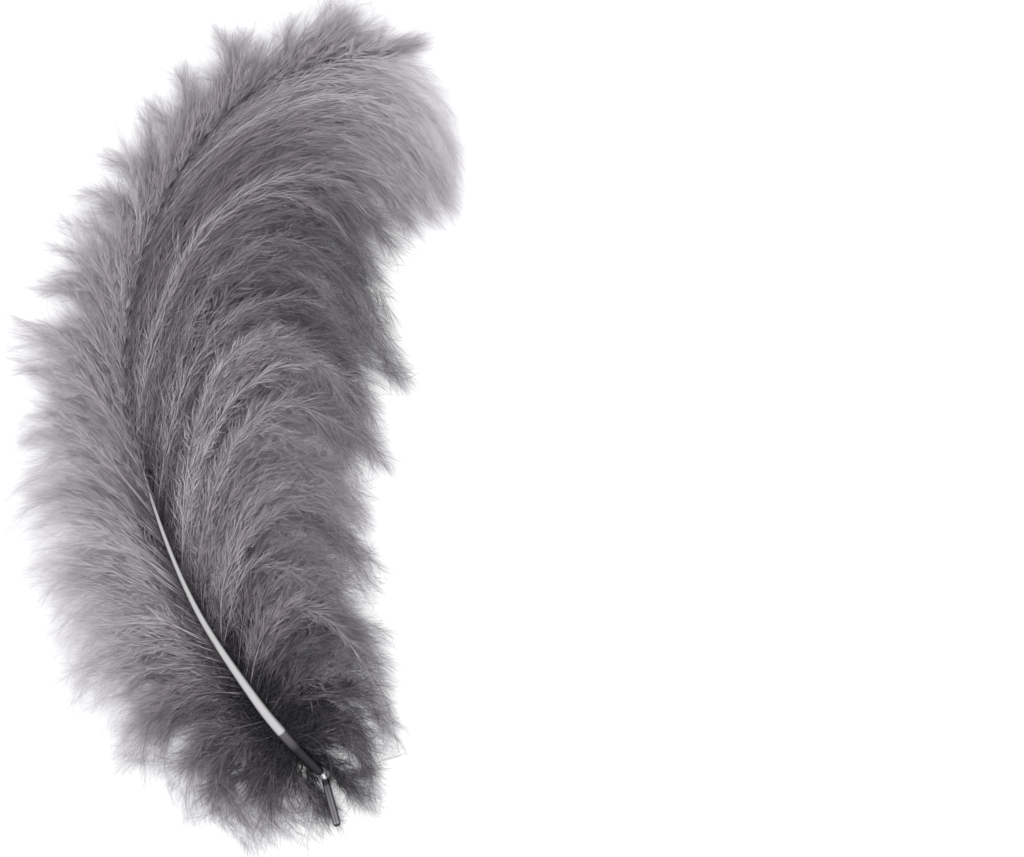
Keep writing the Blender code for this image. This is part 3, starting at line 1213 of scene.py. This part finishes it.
class Materials:
    """The node groups and materials of the plume and the surface that it lies on."""

    # Reaches of the painted root shade and of the deeper painted shade right at the shaft, as shares of a
    # strand.
    ROOT_THIRD = 0.35
    ROOT_END = 0.06
    TIP_START = 0.45
    GRAIN_DETAIL = 4.0
    COLOUR_OVERLAP = 0.5
    SURFACE = {"Base Color": (0.90, 0.90, 0.91, 1.0), "Roughness": 0.9, "Specular IOR Level": 0.1}

    def __init__(self) -> None:
        """Builds the shared node groups."""
        self.tint = self.strand_tint_group()
        self.grain = self.fine_grain_group()

    @staticmethod
    def group(name: str, sockets: dict[str, tuple[str, ...]], result: str) -> tuple[Graph, bpy.types.Node]:
        """Starts a node group.

        Args:
            name: Its name.
            sockets: The names of its inputs, by their kind.
            result: The kind of its one output.

        Returns:
            The group's graph and the node of its inputs.
        """
        graph = Graph(bpy.data.node_groups.new(name, "ShaderNodeTree"))
        for kind, names in sockets.items():
            for each in names:
                graph.tree.interface.new_socket(name=each, in_out="INPUT", socket_type=f"NodeSocket{kind}")
        graph.tree.interface.new_socket(name="Result", in_out="OUTPUT", socket_type=f"NodeSocket{result}")
        return graph, graph.tree.nodes.new("NodeGroupInput")

    @staticmethod
    def finish_group(graph: Graph, result: Socket) -> bpy.types.NodeTree:
        """Links a node group's result and gives the group back."""
        graph.feed(graph.tree.nodes.new("NodeGroupOutput"), {"Result": result})
        return graph.tree

    def strand_tint_group(self) -> bpy.types.NodeTree:
        """A strand's colour from its tone and from the place along it, with painted shade towards its root.

        Returns:
            The node group.
        """
        graph, inputs = self.group("strand_tint", {
            "Vector": ("Map",),
            "Color": ("Dark", "Middle", "Light"),
            "Float": ("Root Shade", "Root Deep Shade", "Tip Lift"),
        }, "Color")
        given = inputs.outputs
        tone, along, _ = graph.add("SeparateXYZ", {"Vector": given["Map"]}).outputs
        colour = graph.mix(graph.stretch(tone, 0.0, 0.5), given["Dark"], given["Middle"])
        colour = graph.mix(graph.stretch(tone, 0.5, 1.0), colour, given["Light"])
        tip = {0: graph.stretch(along, self.TIP_START, 1.0), 1: given["Tip Lift"]}
        lift = graph.add("Math", tip, operation="MULTIPLY").outputs[0]
        colour = graph.mix(lift, colour, given["Light"])
        # Painted shade towards the root, then deeper right at the shaft.
        for shade_factor, reach in ((given["Root Shade"], self.ROOT_THIRD), (given["Root Deep Shade"], self.ROOT_END)):
            share = graph.stretch(along, Strands.MAP_MARGIN, Strands.MAP_MARGIN + reach, shade_factor)
            shade = {0: colour, "Scale": share}
            colour = graph.add("VectorMath", shade, operation="SCALE").outputs["Vector"]
        return self.finish_group(graph, colour)

    def fine_grain_group(self) -> bpy.types.NodeTree:
        """A soft uneven grain on Object coordinates, as a value around 0.5.

        Returns:
            The node group.
        """
        graph, inputs = self.group("fine_grain", {"Float": ("Scale",)}, "Float")
        noise = graph.add("TexNoise", {
            "Vector": graph.add("TexCoord").outputs["Object"],
            "Scale": inputs.outputs["Scale"],
            "Detail": self.GRAIN_DETAIL,
        })
        return self.finish_group(graph, noise.outputs["Fac"])

    @staticmethod
    def fresh(name: str) -> tuple[bpy.types.Material, Graph, bpy.types.Node]:
        """A new material with its graph and its Principled shader."""
        material = bpy.data.materials.new(name)
        material.use_nodes = True
        return material, Graph(material.node_tree), material.node_tree.nodes["Principled BSDF"]

    def barbs(self, finish: BarbFinish) -> bpy.types.Material:
        """The dyed barbs.

        Args:
            finish: Their colours.

        Returns:
            The material.
        """
        material, graph, shader = self.fresh(finish.name)
        tint = graph.add("Group", node_tree=self.tint)
        graph.feed(tint, {
            "Map": graph.add("UVMap", uv_map=UV_NAME).outputs["UV"],
            "Dark": (*finish.dark, 1.0),
            "Middle": (*finish.middle, 1.0),
            "Light": (*finish.light, 1.0),
            "Root Shade": finish.root_shade,
            "Root Deep Shade": finish.root_deep_shade,
            "Tip Lift": finish.tip_lift,
        })
        graph.feed(shader, {
            "Base Color": tint.outputs["Result"],
            "Roughness": finish.roughness,
            "Specular IOR Level": finish.gloss,
        })
        return material

    def horn(self, finish: HornFinish, length: float) -> bpy.types.Material:
        """The horn of the shaft.

        Args:
            finish: Its colours along the shaft.
            length: The shaft's length in millimetres.

        Returns:
            The material.
        """
        material, graph, shader = self.fresh(finish.name)
        along = graph.add("Attribute", attribute_name=ALONG).outputs["Fac"]
        across = graph.add("Attribute", attribute_name=ACROSS).outputs["Fac"]
        grain = graph.add("Group", node_tree=self.grain)
        graph.feed(grain, {"Scale": finish.fibre_scale})
        wander = {0: grain.outputs["Result"], 1: finish.wander, 2: along}
        distance = graph.add("Math", wander, operation="MULTIPLY_ADD").outputs[0]
        shift = 0.5 * finish.wander
        joint = finish.quill[-1][0]
        colours = []
        for end, stops in ((joint, finish.quill), (length, finish.vane)):
            share = graph.stretch(distance, shift, end + shift)
            colours.append(graph.ramp(share, [(spot / end, colour) for spot, colour in stops]))
        colour = graph.mix(graph.stretch(along, joint - self.COLOUR_OVERLAP, joint), *colours)
        # Painted light and shade across the tube, by the place across it.
        aside = graph.add("Math", {0: across}, operation="ABSOLUTE").outputs[0]
        shade_ramps = [
            graph.ramp(aside, [(spot, (shade_factor,) * 3) for spot, shade_factor in table])
            for table in (finish.end_light_and_shade, finish.rim_shade)
        ]
        shade_factor = graph.mix(graph.stretch(along, *finish.bend), *shade_ramps)
        shaded = graph.add("VectorMath", {0: colour, 1: shade_factor}, operation="MULTIPLY")
        bump = graph.add("Bump", {"Distance": finish.fibre_depth, "Height": grain.outputs["Result"]})
        graph.feed(shader, {
            "Base Color": shaded.outputs["Vector"],
            "Normal": bump.outputs["Normal"],
            "Roughness": finish.roughness,
            "Specular IOR Level": finish.gloss,
        })
        return material

    def surface(self) -> bpy.types.Material:
        """The pale matt surface that the plume lies on."""
        material, graph, shader = self.fresh("pale_surface")
        graph.feed(shader, self.SURFACE)
        return material


@dataclass
class Plume:
    """The whole feather.

    Attributes:
        materials: Where its finishes come from.
        line: The centre line of its shaft.
        pieces: What has been built.
    """

    materials: Materials
    line: ShaftLine = field(default_factory=lambda: ShaftLine(SHAFT_LINE))
    pieces: list[bpy.types.Object] = field(default_factory=list)

    def build(self) -> None:
        """Builds the shaft and both vanes."""
        horn = self.materials.horn(DYED_HORN, self.line.length)
        barbs = self.materials.barbs(DYED_BARBS)
        self.dress(Shaft(self.line).build(), horn)
        for side in Side:
            vane = Vane(self.line, side)
            vane.lay_barbs()
            name = side.name.lower()
            self.dress(vane.rami().build(f"{name}_barbs"), barbs)
            parts = {"silk": (SILK, vane.kind.silk_parts), "fluff": (FLUFF, vane.kind.fluff_parts)}
            for label, (kind, count) in parts.items():
                for number, strands in enumerate(split_strands(vane.grow(kind), count), start=1):
                    self.dress(strands.build(f"{name}_{label}_{number}"), barbs)
            self.dress(vane.grow(WISPS).build(f"{name}_wisps"), barbs)

    def dress(self, piece: bpy.types.Object, material: bpy.types.Material) -> None:
        """Gives a piece its finish, hangs it on the body, hides the imported solid and logs its triangles.

        Args:
            piece: The new piece.
            material: Its finish.
        """
        piece.data.materials.append(material)
        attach(piece, BODY)
        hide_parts(NODE)
        self.pieces.append(piece)
        triangles = sum(len(face.vertices) - 2 for face in piece.data.polygons)
        log.info("%s: %d triangles", piece.name, triangles)


class Studio:
    """The pale surface, the soft light and the camera over the middle of the photograph."""

    LENS = 100.0
    SENSOR = 36.0
    SURFACE_SIDE = 3.0
    SURFACE_DROP = 0.0001
    CLIP_START = 0.01
    SKY_STRENGTH = 0.92

    def __init__(self, materials: Materials) -> None:
        """Builds them all."""
        self.lay_surface(materials.surface())
        self.light("key", place=(-0.35, 0.30, 0.70), size=0.60, power=3.2)
        self.light("fill", place=(0.45, -0.20, 0.80), size=0.80, power=2.6)
        self.sky()
        self.aim_camera()

    def lay_surface(self, material: bpy.types.Material) -> None:
        """Lays the surface just under the plume."""
        bm = bmesh.new()
        bmesh.ops.create_grid(bm, x_segments=1, y_segments=1, size=self.SURFACE_SIDE / 2)
        bmesh.ops.translate(bm, verts=bm.verts, vec=(0.0, 0.0, -self.SURFACE_DROP))
        mesh = bpy.data.meshes.new("surface")
        bm.to_mesh(mesh)
        bm.free()
        mesh.materials.append(material)
        surface = put("surface", mesh)

    @staticmethod
    def light(name: str, place: tuple[float, float, float], size: float, power: float) -> None:
        """Adds a soft square light that faces the plume.

        Args:
            name: Its name.
            place: Where it hangs, in metres.
            size: Its side, in metres.
            power: Its power in watts.
        """
        lamp = bpy.data.lights.new(name, "AREA")
        lamp.size = size
        lamp.energy = power
        holder = put(name, lamp)
        holder.location = place
        holder.rotation_euler = (-Vector(place)).to_track_quat("-Z", "Y").to_euler()

    def sky(self) -> None:
        """Sets the even white light from all around."""
        world = bpy.data.worlds.new("studio")
        world.use_nodes = True
        inputs = {"Color": (1.0, 1.0, 1.0, 1.0), "Strength": self.SKY_STRENGTH}
        Graph(world.node_tree).feed(world.node_tree.nodes["Background"], inputs)
        bpy.context.scene.world = world

    def aim_camera(self) -> None:
        """Hangs the camera straight above the middle of the photograph's frame."""
        width = PHOTO_WIDTH * MM_PER_PIXEL * MM
        across = (0.5 * PHOTO_WIDTH - ORIGIN_PIXEL[0]) * MM_PER_PIXEL * MM
        along = (ORIGIN_PIXEL[1] - 0.5 * PHOTO_HEIGHT) * MM_PER_PIXEL * MM
        camera = bpy.data.cameras.new("camera")
        camera.lens = self.LENS
        camera.sensor_width = self.SENSOR
        camera.clip_start = self.CLIP_START
        holder = put("camera", camera)
        holder.matrix_world = Matrix.Translation((across, along, width * self.LENS / self.SENSOR))
        bpy.context.scene.camera = holder


def main() -> None:
    """Builds the plume and its studio."""
    logging.basicConfig(level=logging.INFO, format="%(message)s")
    bpy.context.scene.view_settings.view_transform = "Standard"
    materials = Materials()
    plume = Plume(materials)
    plume.build()
    Studio(materials)
    log.info("the plume has %d pieces", len(plume.pieces))


if __name__ == "__main__":
    main()
